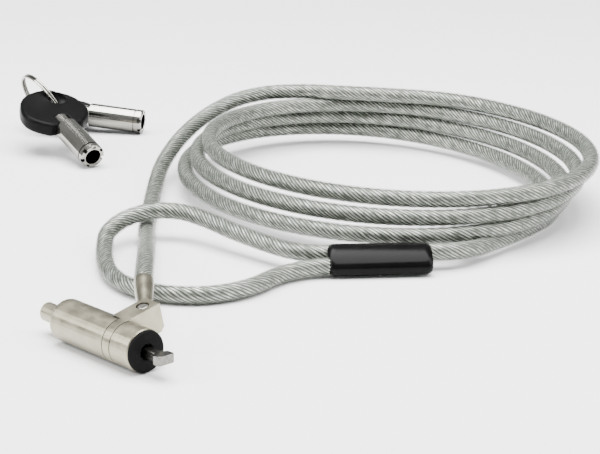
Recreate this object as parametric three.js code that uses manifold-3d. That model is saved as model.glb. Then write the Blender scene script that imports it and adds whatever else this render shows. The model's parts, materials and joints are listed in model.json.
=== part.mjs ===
// Laptop cable lock: a tubular-key lock head with a quarter-turn T-bar, its swivelling cable lug,
// a plastic-coated steel cable that is coiled and ends in a crimped eye, and two keys on a split ring.
// Millimetres, +Z up. The lock lies on its side: +X is the lock's axis, out of the T-bar nose.

import * as THREE from 'three';
import { mergeVertices } from 'three/addons/utils/BufferGeometryUtils.js';
import Module from 'manifold-3d';

const wasm = await Module();
wasm.setup();

// ---------------------------------------------------------------- driving dimensions

const GAP = 0.3; // clearance between neighbouring pieces
const NOTCH_OVERCUT = 1; // how far a cutter runs past the face that it opens

// Lock head, measured along the axis from the front face of the bumper (x = 0) backwards
const BARREL_WALL = 0.9;
const BODY_EDGE = 1.5; // rounding of the rear edge
const NOSE_LENGTH = 8.1; // metal nose collar
const SWIVEL_WIDTH = 3.4; // swivel ring between nose collar and barrel
const BUMPER_THICKNESS = 1;
const BUMPER_LIP = 0.2; // the bumper's edge stands this far inside the nose collar's
const BUMPER_CLEARANCE = 0.4; // between the shaft and the bumper's bore, each side
const BUMPER_BOSS_DIAMETER = 10;
const BUMPER_BOSS_DEPTH = 1;
const BUMPER_EDGE = 0.6; // width of the rubber's worn front edge
const NOSE_EDGE = 0.3;

// Lock mechanism
const KEY_CLEARANCE = 0.2; // between the key's tube and its keyway, each side
const POST_LENGTH = 9.5; // how far it stands out of the barrel
const POST_CHAMFER = 0.7;
const POST_NOTCH = [2, 1.6, 1.6]; // cut for the key's lug, along, across and into the post
const KEYWAY_DEPTH = 8.3;
const KEYWAY_STEP = 0.65; // how far the chamber behind the keyway is wider, each side
const PLUG_FLANGE = 4; // thickness of the plug's pin disc
const HOUSING_LENGTH = 5.6;
const PIN_COUNT = 7;
const PIN_DIAMETER = 1.2;
const KEY_PIN_LENGTH = 3.2;
const DRIVER_PIN_LENGTH = 1.8;
const HOUSING_FLOOR = 1; // left at the end of the blind spring bores
const SPRING_WIRE = 0.25;
const SPRING_TURNS = 3;
const SHAFT_DIAMETER = 4.2;
const COUPLER_WALL = 1.1;
const COUPLER_LENGTH = 3.6;
const COUPLER_PIN_DIAMETER = 0.8;
const BUSH_LENGTH = 3;
const BUSH_WALL = 0.4;

// T-bar
const TBAR_NECK_LENGTH = 5.5;
const TBAR_HEAD_LENGTH = 3.4;
const TBAR_WIDTH = 6;
const TBAR_NECK_WIDTH = 3;
const TBAR_THICKNESS = 2.9;
const TBAR_CORNER = 0.9;

// Swivel lug
const LUG_TILT = 12; // degrees that the lug has swivelled up around the lock's axis
const LUG_WIDTH = 6.9; // along the lock's axis
const LUG_STANDOUT = 7.7; // from the barrel's side to the lug's far face
const LUG_CORNER = 1.3;
const LUG_PLATE = 2; // thickness of the plate above the slot
const LUG_FOOT = 1.9; // thickness of the plate below the slot
const SLOT_HEIGHT = 4.9;
const RIVET_STANDOUT = 4; // from the barrel's side to the rivet
const RIVET_DIAMETER = 2;
const RIVET_HEAD_DIAMETER = 3.2;
const RIVET_RECESS_DIAMETER = 4;
const RIVET_RECESS_DEPTH = 0.7;
const RIVET_SEAT = 0.1; // the rivet's head stands this far off its recess
const RIVET_HEAD_HEIGHT = 0.5;

// Cable end fitting
const FERRULE_ANGLE = 141.6; // degrees from +X, in the lug's plane
const FERRULE_LENGTH = 25; // rivet to the mouth that the cable enters
const STEM_CLEARANCE = 0.1; // between the ferrule's stem and the lug's slot, each side
const FERRULE_EYE_DIAMETER = 4.8;
const FERRULE_MOUTH_DIAMETER = 6.8;
const FERRULE_MOUTH_LENGTH = 2.4;
const FERRULE_SOCKET_DEPTH = 1.6;

// Cable
const CABLE_DIAMETER = 6; // over the plastic coat
const ROPE_DIAMETER = 4.4; // the steel rope inside it
const CABLE_SIDES = 8;
const CABLE_STEP = 15; // length of one step of the tubes along the cable

// Coil of cable: one ring of the outer shape of its turns, on an oval
const COIL_CENTRE = [-84.7, 175.4];
const COIL_TURN = 167.5; // degrees from +X to the oval's long axis
const COIL_RADIUS = 71;
const COIL_STRETCH = [1.12, 0.875];
const COIL_HALF_WIDTH = 9.5;
const COIL_HEIGHT = 25.5;
const COIL_FOOT_INSET = 8; // the lowest turns lie this much inside the others
const COIL_FOOT_HEIGHT = 10.5;

// Crimp that closes the eye, under its sleeve
const SLEEVE_CENTRE = [-20.7, 113];
const SLEEVE_TURN = 51.5; // degrees from +X
const SLEEVE_TILT = 22; // degrees that the upper strand is raised
const SLEEVE_LENGTH = 34;
const SLEEVE_WALL = 0.6;
const SLEEVE_CAP = 1.5; // length of the sleeve's ends past its hollow
const CRIMP_LENGTH = 26;
const FLOOR_GAP = 0.1;

// Keys
const KEY_TUBE_DIAMETER = 9.5;
const KEY_TUBE_BORE = 6.3;
const KEY_TUBE_LENGTH = 22;
const KEY_TUBE_TAIL = 6; // length inside the bow
const KEY_BORE_DEPTH = 12;
const KEY_GROOVE_DISTANCE = 2.6; // from the tip
const KEY_GROOVE_WIDTH = 0.6;
const KEY_GROOVE_DEPTH = 0.3;
const KEY_CUT_WIDTH = 1.4; // bitting cuts around the tip
const KEY_CUT_DEPTHS = [0.5, 1.4, 1.1, 0.8, 0.5, 1.4, 1.1];
const KEY_EDGE = 0.3;
const KEY_TAIL_STEP = 1; // the tube's tail is this much thinner, each side
const BOW_LENGTH = 27;
const BOW_WIDTH = 27;
const BOW_SHOULDER = 15; // width where the tube comes out
const BOW_THICKNESS = 5.6;
const BOW_EDGE = 1.2; // rounding of the bow's edges
const BOW_CHEEK = 9; // from either end of the bow to where its sides run out
const BOW_FLAT = 1; // how far its sides stay from a true round
const BOW_BEVEL_STEPS = 2;
const BOW_HOLE_WIDTH = 7.4;
const BOW_HOLE_LENGTH = 10.4;
const BOW_HOLE_INSET = 7; // from the bow's far end
const BOW_HOLE_OFFSET = 4.5;
const RING_DIAMETER = 27.3;
const RING_WIRE = 1.3;
const RING_WIDTH = 2.08; // the ring's two turns of wire, side by side

// How the keys and their ring lie: [x, y, z] from the lock's nose, z from the floor, and degrees
const BACK_KEY = { hole: [-244.94, 140.62, 8.87], turn: 36.5, rise: 5, roll: -4, flip: true };
const FRONT_KEY = { hole: [-223.77, 132.77, 17.08], turn: -9.5, rise: 17, roll: 0, flip: false };
const RING_CENTRE = [-234.9, 135.7, 14.3];
const RING_TURN = -8.4; // about the vertical
const RING_LEAN = 116.4; // from flat, past upright

// ---------------------------------------------------------------- derived stations

const radians = THREE.MathUtils.degToRad;
const KEYWAY_DIAMETER = KEY_TUBE_DIAMETER + 2 * KEY_CLEARANCE;
const POST_DIAMETER = KEY_TUBE_BORE - 2 * KEY_CLEARANCE;
const PIN_CIRCLE = (KEY_TUBE_DIAMETER + KEY_TUBE_BORE) / 2; // diameter, on the middle of the key's wall
const CHAMBER_DIAMETER = KEYWAY_DIAMETER + 2 * KEYWAY_STEP;
const SPIGOT_DIAMETER = CHAMBER_DIAMETER - 2 * BUSH_WALL - 4 * GAP; // nose collar's tail
const BODY_RADIUS = CHAMBER_DIAMETER / 2 + BARREL_WALL;
const BODY_DIAMETER = 2 * BODY_RADIUS;
const MECHANISM_LENGTH = KEYWAY_DEPTH + PLUG_FLANGE + HOUSING_LENGTH + COUPLER_LENGTH;
const BARREL_LENGTH = MECHANISM_LENGTH + BUSH_LENGTH + 4 * GAP;
const NOSE_FRONT = -BUMPER_THICKNESS - GAP;
const NOSE_REAR = NOSE_FRONT - NOSE_LENGTH;
const SWIVEL_REAR = NOSE_REAR - SWIVEL_WIDTH;
const BARREL_FRONT = SWIVEL_REAR - GAP;
const BARREL_REAR = BARREL_FRONT - BARREL_LENGTH;
const PLUG_REAR = BARREL_REAR + KEYWAY_DEPTH + GAP;
const SHEAR_LINE = PLUG_REAR + PLUG_FLANGE;
const HOUSING_REAR = SHEAR_LINE + GAP;
const HOUSING_FRONT = HOUSING_REAR + HOUSING_LENGTH;
const SPIGOT_REAR = BARREL_FRONT - BUSH_LENGTH;
const PIN_BORE_DEPTH = HOUSING_LENGTH - HOUSING_FLOOR;
const SHAFT_BORE = SHAFT_DIAMETER + 2 * GAP;
const BUMPER_BORE = SHAFT_DIAMETER + 2 * BUMPER_CLEARANCE;
const COUPLER_DIAMETER = SHAFT_BORE + 2 * COUPLER_WALL;
const SHAFT_JOINT = (HOUSING_FRONT + SPIGOT_REAR) / 2;
const COUPLER_FRONT = SPIGOT_REAR - GAP;
const COUPLER_PIN = (SHAFT_JOINT + COUPLER_FRONT) / 2;
const LUG_REACH = BODY_RADIUS + LUG_STANDOUT;
const LUG_DEPTH = LUG_PLATE + SLOT_HEIGHT + LUG_FOOT;
const RIVET_REACH = BODY_RADIUS + RIVET_STANDOUT;
const LUG_FRONT = NOSE_REAR - GAP;
const LUG_MIDDLE = LUG_FRONT - LUG_WIDTH / 2;
const SLOT_TOP = BODY_RADIUS - LUG_PLATE;
const SLOT_MIDDLE = SLOT_TOP - SLOT_HEIGHT / 2;
const FERRULE_DIAMETER = SLOT_HEIGHT - 2 * STEM_CLEARANCE;
const SLEEVE_RADIUS = CABLE_DIAMETER / 2 + SLEEVE_WALL;
const STRAND_SPACING = CABLE_DIAMETER + GAP;
const SLEEVE_RISE = (STRAND_SPACING / 2) * Math.sin(radians(SLEEVE_TILT));
const SLEEVE_HEIGHT = SLEEVE_RISE + SLEEVE_RADIUS + FLOOR_GAP;
const BOW_HOLE_DISTANCE = BOW_LENGTH - BOW_HOLE_INSET; // from the bow's shoulder

// Cable stretches that are not coiled, chosen by hand: [x, y, z] from the lock's nose, z from the floor
const LEAD_POINTS = [
  [-33.2, 25.4, 14], [-38, 29.4, 14.4], [-45.9, 36, 13.8], [-54.8, 43.4, 12.2], [-65.9, 52.4, 9.6],
  [-76.8, 61.2, 6.8], [-89, 71.1, 4.3], [-99.6, 79.3, 3.2], [-109.9, 88.2, 3.1], [-120.6, 97.8, 3.1],
  [-131.7, 108, 3.6], [-141, 117.1, 5], [-149.1, 125.9, 7],
];
const LINK_POINTS = [[-12.1, 128.5, 6.1], [-9.8, 131.6, 6], [-8, 135.2, 5.8], [-7, 138.8, 5.6]];
const EYE_POINTS = [
  [-29.4, 97.4, 3.7], [-31.3, 94.6, 3.6], [-32.9, 90.9, 3.4], [-34.2, 83.1, 3.1], [-33.6, 77.2, 3.1],
  [-31.9, 69.4, 3.1], [-31.8, 61.2, 3.1], [-35.2, 51.4, 3.1], [-43.6, 43.2, 3.1], [-56, 39.2, 3.1],
  [-70, 41.8, 3.1], [-82, 48.2, 3.2], [-93, 56.3, 4.2], [-100, 63.4, 6.3], [-102.5, 72.8, 8.5],
  [-100, 82.1, 9.9], [-93.3, 88.7, 9.9], [-83.8, 91.4, 9], [-69, 92.2, 7.6], [-57.2, 93.1, 6.8],
  [-47.3, 94, 6.4], [-43.4, 94.9, 6.3], [-39.7, 96.4, 6.2], [-36.4, 98.7, 6.1], [-34.3, 100.8, 6.1],
];

// ---------------------------------------------------------------- materials

function finish(color, metalness, roughness) {
  return { color, metalness, roughness };
}

const NICKEL = finish(0xb9b4a6, 1, 0.32);
const STEEL = finish(0x85827c, 1, 0.25);
const POLISHED = finish(0xd8d5cd, 1, 0.12);
const BRASS = finish(0xb08d4a, 1, 0.35);
const ALUMINIUM = finish(0xb8bbbd, 1, 0.4);
const RUBBER = finish(0x141414, 0, 0.8);
const BLACK_PLASTIC = finish(0x101010, 0, 0.4);
const COATED_CABLE = finish(0x9fa39d, 0.4, 0.35);

// ---------------------------------------------------------------- geometry helpers

function solid(geometry) {
  geometry.deleteAttribute('normal');
  geometry.deleteAttribute('uv');
  const merged = mergeVertices(geometry, 1e-4);
  const mesh = new wasm.Mesh({
    numProp: 3,
    vertProperties: new Float32Array(merged.attributes.position.array),
    triVerts: new Uint32Array(merged.index.array),
  });
  return new wasm.Manifold(mesh);
}

function toGeometry(manifold) {
  const mesh = manifold.getMesh();
  const geometry = new THREE.BufferGeometry();
  geometry.setAttribute('position', new THREE.BufferAttribute(mesh.vertProperties, 3));
  geometry.setIndex(new THREE.BufferAttribute(mesh.triVerts, 1));
  return geometry;
}

function subtract(geometry, ...cutters) {
  return toGeometry(cutters.reduce((body, cutter) => body.subtract(solid(cutter)), solid(geometry)));
}

function unite(geometry, ...others) {
  return toGeometry(others.reduce((body, other) => body.add(solid(other)), solid(geometry)));
}

function piece(parent, name, geometry, look) {
  const mesh = new THREE.Mesh(geometry, new THREE.MeshStandardMaterial(look));
  mesh.name = name;
  parent.add(mesh);
  return mesh;
}

function box(length, width, height, x, y, z) {
  return new THREE.BoxGeometry(length, width, height).translate(x, y, z);
}

// Round bar along X from one station to another
function bar(from, to, diameter, sides = 32) {
  const length = Math.abs(to - from);
  const geometry = new THREE.CylinderGeometry(diameter / 2, diameter / 2, length, sides);
  return geometry.rotateZ(-Math.PI / 2).translate((from + to) / 2, 0, 0);
}

// Profile of [x, radius] pairs revolved about X; it starts and ends on the axis or closes on itself
function turned(profile, sides = 32) {
  const points = profile.map(([x, radius]) => new THREE.Vector2(radius, x));
  return new THREE.LatheGeometry(points, sides).rotateZ(-Math.PI / 2);
}

function ring(from, to, outer, inner, sides = 32) {
  const [r, bore] = [outer / 2, inner / 2];
  return turned([[from, bore], [from, r], [to, r], [to, bore], [from, bore]], sides);
}

function extrudeAlong(section, points, closed, steps) {
  const path = new THREE.CatmullRomCurve3(points, closed, 'centripetal');
  return new THREE.ExtrudeGeometry(section, { steps, bevelEnabled: false, extrudePath: path });
}

function circleShape(radius, sides) {
  const shape = new THREE.Shape();
  for (let i = 0; i < sides; i += 1) {
    const angle = (2 * Math.PI * i) / sides;
    const method = i === 0 ? 'moveTo' : 'lineTo';
    shape[method](radius * Math.cos(angle), radius * Math.sin(angle));
  }
  shape.closePath();
  return shape;
}

function stadiumShape(halfSpacing, radius) {
  const shape = new THREE.Shape();
  shape.absarc(halfSpacing, 0, radius, -Math.PI / 2, Math.PI / 2, false);
  shape.absarc(-halfSpacing, 0, radius, Math.PI / 2, (3 * Math.PI) / 2, false);
  shape.closePath();
  return shape;
}

// Prism of a shape in the YZ plane, along X
function prism(shape, from, to, curveSegments = 10) {
  const settings = { depth: to - from, bevelEnabled: false, curveSegments };
  const geometry = new THREE.ExtrudeGeometry(shape, settings);
  return geometry.rotateY(Math.PI / 2).rotateX(Math.PI / 2).translate(from, 0, 0);
}

// Plate of a shape in the XY plane, between two heights
function plate(shape, bottom, top, curveSegments = 8) {
  const settings = { depth: top - bottom, bevelEnabled: false, curveSegments };
  return new THREE.ExtrudeGeometry(shape, settings).translate(0, 0, bottom);
}

function pinAngle(index) {
  return (2 * Math.PI * index) / PIN_COUNT;
}

function onPinCircle(geometry, index) {
  const angle = pinAngle(index);
  const radius = PIN_CIRCLE / 2;
  return geometry.translate(0, radius * Math.sin(angle), radius * Math.cos(angle));
}

// ---------------------------------------------------------------- barrel and nose

function addBarrel(parent) {
  const edge = BODY_RADIUS - BODY_EDGE;
  const rounding = [];
  for (let i = 0; i <= 5; i += 1) {
    const angle = (Math.PI / 2) * (i / 5);
    rounding.push([BARREL_REAR + BODY_EDGE * (1 - Math.sin(angle)), edge + BODY_EDGE * Math.cos(angle)]);
  }
  rounding.reverse();
  const step = BARREL_REAR + KEYWAY_DEPTH;
  const profile = [
    [BARREL_REAR, KEYWAY_DIAMETER / 2], ...rounding, [BARREL_FRONT, BODY_RADIUS],
    [BARREL_FRONT, CHAMBER_DIAMETER / 2], [step, CHAMBER_DIAMETER / 2], [step, KEYWAY_DIAMETER / 2],
    [BARREL_REAR, KEYWAY_DIAMETER / 2],
  ];
  piece(parent, 'barrel_shell', turned(profile, 40), NICKEL);
}

function addNose(parent) {
  const seat = BUMPER_BOSS_DIAMETER / 2 + GAP;
  const floor = NOSE_FRONT - BUMPER_BOSS_DEPTH;
  const spigot = SPIGOT_DIAMETER / 2;
  const bore = SHAFT_BORE / 2;
  const profile = [
    [SPIGOT_REAR, bore], [SPIGOT_REAR, spigot], [NOSE_REAR, spigot], [NOSE_REAR, BODY_RADIUS],
    [NOSE_FRONT - NOSE_EDGE, BODY_RADIUS], [NOSE_FRONT, BODY_RADIUS - NOSE_EDGE],
    [NOSE_FRONT, seat], [floor, seat],
    [floor, bore], [SPIGOT_REAR, bore],
  ];
  piece(parent, 'nose_collar', turned(profile, 40), NICKEL);
  const outer = CHAMBER_DIAMETER - 2 * GAP;
  const inner = SPIGOT_DIAMETER + 2 * GAP;
  piece(parent, 'retaining_bush', ring(SPIGOT_REAR, BARREL_FRONT - GAP, outer, inner), STEEL);
}

function addBumper(parent) {
  const radius = BODY_RADIUS - BUMPER_LIP;
  const bore = BUMPER_BORE / 2;
  const boss = BUMPER_BOSS_DIAMETER / 2;
  const back = NOSE_FRONT - BUMPER_BOSS_DEPTH + GAP;
  const profile = [
    [back, bore], [back, boss], [-BUMPER_THICKNESS, boss], [-BUMPER_THICKNESS, radius],
    [-(2 / 3) * BUMPER_EDGE, radius], [-BUMPER_EDGE / 6, radius - BUMPER_EDGE / 3],
    [0, radius - BUMPER_EDGE], [0, bore], [back, bore],
  ];
  piece(parent, 'bumper_pad', turned(profile, 40), RUBBER);
}

// ---------------------------------------------------------------- lock mechanism

function addPlug(parent) {
  const post = POST_DIAMETER / 2;
  const tip = BARREL_REAR - POST_LENGTH;
  const flange = CHAMBER_DIAMETER / 2 - GAP;
  const shaft = SHAFT_DIAMETER / 2;
  const end = SHAFT_JOINT - GAP;
  const profile = [
    [tip, 0], [tip, post - POST_CHAMFER], [tip + POST_CHAMFER, post], [PLUG_REAR, post],
    [PLUG_REAR, flange], [SHEAR_LINE, flange], [SHEAR_LINE, shaft], [end, shaft], [end, 0],
  ];
  const bores = [];
  for (let i = 0; i < PIN_COUNT; i += 1) {
    const from = PLUG_REAR - NOTCH_OVERCUT;
    bores.push(onPinCircle(bar(from, SHEAR_LINE + NOTCH_OVERCUT, PIN_DIAMETER + 2 * GAP, 10), i));
  }
  const notch = box(...POST_NOTCH, BARREL_REAR - KEY_CLEARANCE, 0, post);
  piece(parent, 'key_plug', subtract(turned(profile), notch, ...bores), NICKEL);
  for (let i = 0; i < PIN_COUNT; i += 1) {
    const from = SHEAR_LINE - KEY_PIN_LENGTH;
    piece(parent, `key_pin_${i + 1}`, onPinCircle(bar(from, SHEAR_LINE, PIN_DIAMETER, 8), i), BRASS);
  }
}

function addHousing(parent) {
  const body = ring(HOUSING_REAR, HOUSING_FRONT, CHAMBER_DIAMETER - 2 * GAP, SHAFT_BORE);
  const bores = [];
  for (let i = 0; i < PIN_COUNT; i += 1) {
    const from = HOUSING_REAR - NOTCH_OVERCUT;
    const to = HOUSING_REAR + PIN_BORE_DEPTH;
    bores.push(onPinCircle(bar(from, to, PIN_DIAMETER + 2 * GAP, 10), i));
  }
  piece(parent, 'pin_housing', subtract(body, ...bores), BRASS);
  for (let i = 0; i < PIN_COUNT; i += 1) {
    const end = HOUSING_REAR + DRIVER_PIN_LENGTH;
    piece(parent, `driver_pin_${i + 1}`, onPinCircle(bar(HOUSING_REAR, end, PIN_DIAMETER, 8), i), STEEL);
    const from = end + GAP;
    const to = HOUSING_REAR + PIN_BORE_DEPTH - GAP;
    piece(parent, `pin_spring_${i + 1}`, onPinCircle(springCoil(from, to), i), STEEL);
  }
}

function springCoil(from, to) {
  const radius = (PIN_DIAMETER - SPRING_WIRE) / 2;
  const stepsPerTurn = 8;
  const points = [];
  for (let i = 0; i <= SPRING_TURNS * stepsPerTurn; i += 1) {
    const angle = (2 * Math.PI * i) / stepsPerTurn;
    const x = THREE.MathUtils.lerp(from, to, i / (SPRING_TURNS * stepsPerTurn));
    points.push(new THREE.Vector3(x, radius * Math.cos(angle), radius * Math.sin(angle)));
  }
  const steps = points.length - 1;
  return extrudeAlong(circleShape(SPRING_WIRE / 2, 4), points, false, steps);
}

// ---------------------------------------------------------------- T-bar and its drive

function headShape() {
  const shape = new THREE.Shape();
  const rear = TBAR_NECK_LENGTH;
  const front = TBAR_NECK_LENGTH + TBAR_HEAD_LENGTH;
  const half = TBAR_WIDTH / 2;
  const c = TBAR_CORNER;
  shape.moveTo(rear, -half + c);
  shape.absarc(rear + c, -half + c, c, Math.PI, 1.5 * Math.PI, false);
  shape.absarc(front - c, -half + c, c, 1.5 * Math.PI, 2 * Math.PI, false);
  shape.absarc(front - c, half - c, c, 0, 0.5 * Math.PI, false);
  shape.absarc(rear + c, half - c, c, 0.5 * Math.PI, Math.PI, false);
  shape.closePath();
  return shape;
}

// Upright cross bore or pin at the coupler
function crossBar(diameter, length) {
  const geometry = new THREE.CylinderGeometry(diameter / 2, diameter / 2, length, 10);
  return geometry.translate(COUPLER_PIN, 0, 0);
}

function addTBar(parent) {
  const half = TBAR_THICKNESS / 2;
  const shank = bar(SHAFT_JOINT, NOSE_FRONT, SHAFT_DIAMETER);
  const neckEnd = TBAR_NECK_LENGTH + NOTCH_OVERCUT;
  const neckLength = neckEnd - NOSE_FRONT + NOTCH_OVERCUT;
  const neck = box(neckLength, TBAR_NECK_WIDTH, TBAR_THICKNESS, neckEnd - neckLength / 2, 0, 0);
  const head = plate(headShape(), -half, half, 4);
  const crossBore = crossBar(COUPLER_PIN_DIAMETER + 2 * GAP, COUPLER_DIAMETER);
  piece(parent, 'tbar', subtract(unite(shank, neck, head), crossBore), STEEL);
}

function addDrive(parent) {
  const body = ring(HOUSING_FRONT + GAP, COUPLER_FRONT, COUPLER_DIAMETER, SHAFT_BORE);
  const crossBore = crossBar(COUPLER_PIN_DIAMETER + 2 * GAP, COUPLER_DIAMETER + 2 * NOTCH_OVERCUT);
  piece(parent, 'drive_coupler', subtract(body, crossBore), STEEL);
  piece(parent, 'coupler_pin', crossBar(COUPLER_PIN_DIAMETER, COUPLER_DIAMETER - 2 * KEY_CLEARANCE), STEEL);
}

// ---------------------------------------------------------------- swivel lug, rivet and cable end

function lugBlockShape() {
  const shape = new THREE.Shape();
  const top = BODY_RADIUS;
  const bottom = BODY_RADIUS - LUG_DEPTH;
  shape.moveTo(0, bottom);
  shape.lineTo(LUG_REACH - LUG_CORNER, bottom);
  shape.lineTo(LUG_REACH, bottom + LUG_CORNER);
  shape.lineTo(LUG_REACH, top);
  shape.lineTo(0, top);
  shape.closePath();
  return shape;
}

function addLug(parent) {
  const rear = LUG_FRONT - LUG_WIDTH;
  const swivel = bar(SWIVEL_REAR, LUG_FRONT, BODY_DIAMETER, 40);
  const block = prism(lugBlockShape(), rear, LUG_FRONT);
  const overBarrel = bar(rear - NOTCH_OVERCUT, SWIVEL_REAR, BODY_DIAMETER + 2 * GAP, 40);
  const bore = bar(rear - NOTCH_OVERCUT, LUG_FRONT + NOTCH_OVERCUT, SPIGOT_DIAMETER + 2 * GAP, 40);
  const slotInner = RIVET_REACH - FERRULE_EYE_DIAMETER / 2 - GAP;
  const slotFront = LUG_MIDDLE + FERRULE_EYE_DIAMETER / 2 + GAP;
  const slotLength = slotFront - rear + NOTCH_OVERCUT;
  const slotWidth = LUG_REACH - slotInner + NOTCH_OVERCUT;
  const slot = box(slotLength, slotWidth, SLOT_HEIGHT, slotFront - slotLength / 2, 0, SLOT_MIDDLE);
  slot.translate(0, slotInner + slotWidth / 2, 0);
  const above = BODY_RADIUS + NOTCH_OVERCUT;
  const below = BODY_RADIUS - LUG_DEPTH - NOTCH_OVERCUT;
  const rivetBore = uprightBar(RIVET_DIAMETER + 2 * GAP, below, above);
  const recess = uprightBar(RIVET_RECESS_DIAMETER, BODY_RADIUS - RIVET_RECESS_DEPTH, above);
  const geometry = subtract(unite(swivel, block), overBarrel, bore, slot, rivetBore, recess);
  piece(parent, 'swivel_lug', geometry, NICKEL);
}

// Round bar along Z at the rivet's place
function uprightBar(diameter, bottom, top, sides = 20) {
  const geometry = new THREE.CylinderGeometry(diameter / 2, diameter / 2, top - bottom, sides);
  return geometry.rotateX(Math.PI / 2).translate(LUG_MIDDLE, RIVET_REACH, (top + bottom) / 2);
}

function addRivet(parent) {
  const seat = BODY_RADIUS - RIVET_RECESS_DEPTH + RIVET_SEAT;
  const pin = uprightBar(RIVET_DIAMETER, BODY_RADIUS - LUG_DEPTH + GAP, seat + RIVET_HEAD_HEIGHT / 2);
  const head = uprightBar(RIVET_HEAD_DIAMETER, seat, seat + RIVET_HEAD_HEIGHT);
  piece(parent, 'lug_rivet', unite(pin, head), POLISHED);
}

function addFerrule(parent) {
  const group = new THREE.Group();
  group.position.set(LUG_MIDDLE, RIVET_REACH, SLOT_MIDDLE);
  group.rotation.z = radians(FERRULE_ANGLE);
  parent.add(group);
  const half = SLOT_HEIGHT / 2 - GAP;
  const eye = plate(circleShape(FERRULE_EYE_DIAMETER / 2, 20), -half, half);
  const mouth = FERRULE_LENGTH - FERRULE_MOUTH_LENGTH;
  const stem = bar(RIVET_DIAMETER / 4, mouth + GAP, FERRULE_DIAMETER, 20);
  const cup = bar(mouth, FERRULE_LENGTH, FERRULE_MOUTH_DIAMETER, 20);
  const socketFloor = FERRULE_LENGTH - FERRULE_SOCKET_DEPTH;
  const socket = bar(socketFloor, FERRULE_LENGTH + NOTCH_OVERCUT, ROPE_DIAMETER, 16);
  const room = 1.5 * FERRULE_EYE_DIAMETER;
  const tooTall = [half + 1, -half - 1].map((z) => box(room, room, 2, 0, 0, z));
  const bore = plate(circleShape(RIVET_DIAMETER / 2 + GAP, 16), -half - 1, half + 1);
  piece(group, 'cable_ferrule', subtract(unite(eye, stem, cup), socket, bore, ...tooTall), NICKEL);
}

// ---------------------------------------------------------------- cable, crimp and sleeve

function addCableTube(parent, name, coordinates) {
  const points = coordinates.map((point) => new THREE.Vector3(...point));
  const path = new THREE.CatmullRomCurve3(points, false, 'centripetal');
  const steps = Math.ceil(path.getLength() / CABLE_STEP);
  const section = circleShape(CABLE_DIAMETER / 2, CABLE_SIDES);
  piece(parent, name, extrudeAlong(section, points, false, steps), COATED_CABLE);
}

function addCoil(parent) {
  const inner = COIL_RADIUS - COIL_HALF_WIDTH;
  const outer = COIL_RADIUS + COIL_HALF_WIDTH;
  const foot = outer - COIL_FOOT_INSET;
  const bevel = CABLE_DIAMETER / 2;
  const profile = [
    [inner, 2 * FLOOR_GAP], [foot, 2 * FLOOR_GAP], [foot, COIL_FOOT_HEIGHT],
    [outer, COIL_FOOT_HEIGHT + COIL_FOOT_INSET], [outer, COIL_HEIGHT - bevel],
    [outer - bevel, COIL_HEIGHT], [inner + bevel, COIL_HEIGHT], [inner, COIL_HEIGHT - bevel],
    [inner, 2 * FLOOR_GAP],
  ];
  const points = profile.map(([radius, z]) => new THREE.Vector2(radius, z));
  const geometry = new THREE.LatheGeometry(points, 48).rotateX(Math.PI / 2).rotateZ(Math.PI);
  geometry.scale(COIL_STRETCH[0], COIL_STRETCH[1], 1);
  const mesh = piece(parent, 'cable_coil', geometry, COATED_CABLE);
  mesh.rotation.z = radians(COIL_TURN);
  mesh.position.set(...COIL_CENTRE, 0);
}

function addSleeve(parent) {
  const group = new THREE.Group();
  group.position.set(...SLEEVE_CENTRE, SLEEVE_HEIGHT);
  group.rotation.set(radians(SLEEVE_TILT), 0, radians(SLEEVE_TURN), 'ZYX');
  parent.add(group);
  const halfSpacing = STRAND_SPACING / 2;
  const end = SLEEVE_LENGTH / 2;
  const crimpEnd = CRIMP_LENGTH / 2;
  const cover = prism(stadiumShape(halfSpacing, SLEEVE_RADIUS), -end, end);
  const hollow = stadiumShape(halfSpacing, SLEEVE_RADIUS - SLEEVE_WALL);
  const inside = prism(hollow, SLEEVE_CAP - end, end - SLEEVE_CAP);
  const bores = [-halfSpacing, halfSpacing].map((y) => {
    return bar(-end - NOTCH_OVERCUT, end + NOTCH_OVERCUT, ROPE_DIAMETER, 16).translate(0, y, 0);
  });
  piece(group, 'crimp_sleeve', subtract(cover, inside, ...bores), BLACK_PLASTIC);
  const pressed = stadiumShape(halfSpacing, SLEEVE_RADIUS - SLEEVE_WALL - GAP);
  const block = prism(pressed, -crimpEnd, crimpEnd);
  piece(group, 'crimp_block', subtract(block, ...bores), ALUMINIUM);
}

// ---------------------------------------------------------------- keys and ring

// Rounded outline of the bow inside its bevel, a little fuller on one side, from the shoulder round
function bowShape() {
  const shape = new THREE.Shape();
  const half = BOW_WIDTH / 2 - BOW_EDGE;
  const shoulder = BOW_SHOULDER / 2 - BOW_EDGE;
  const front = -BOW_EDGE;
  const rear = -BOW_LENGTH + BOW_EDGE;
  const widest = -BOW_CHEEK;
  const cheek = rear + BOW_CHEEK;
  shape.moveTo(front, -shoulder);
  shape.lineTo(front, shoulder);
  shape.quadraticCurveTo(widest / 2, half - BOW_FLAT, widest, half);
  shape.quadraticCurveTo(cheek - BOW_FLAT, half + BOW_FLAT / 2, rear + BOW_CHEEK / 2, half - 3.5 * BOW_FLAT);
  shape.quadraticCurveTo(rear, half - 7 * BOW_FLAT, rear, half - BOW_CHEEK);
  shape.quadraticCurveTo(rear, BOW_CHEEK / 2 - half, cheek, 1.5 * BOW_FLAT - half);
  shape.quadraticCurveTo((cheek + widest) / 2, -half - BOW_FLAT / 2, widest, -half);
  shape.quadraticCurveTo(widest / 2, BOW_FLAT - half, front, -shoulder);
  return shape;
}

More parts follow.
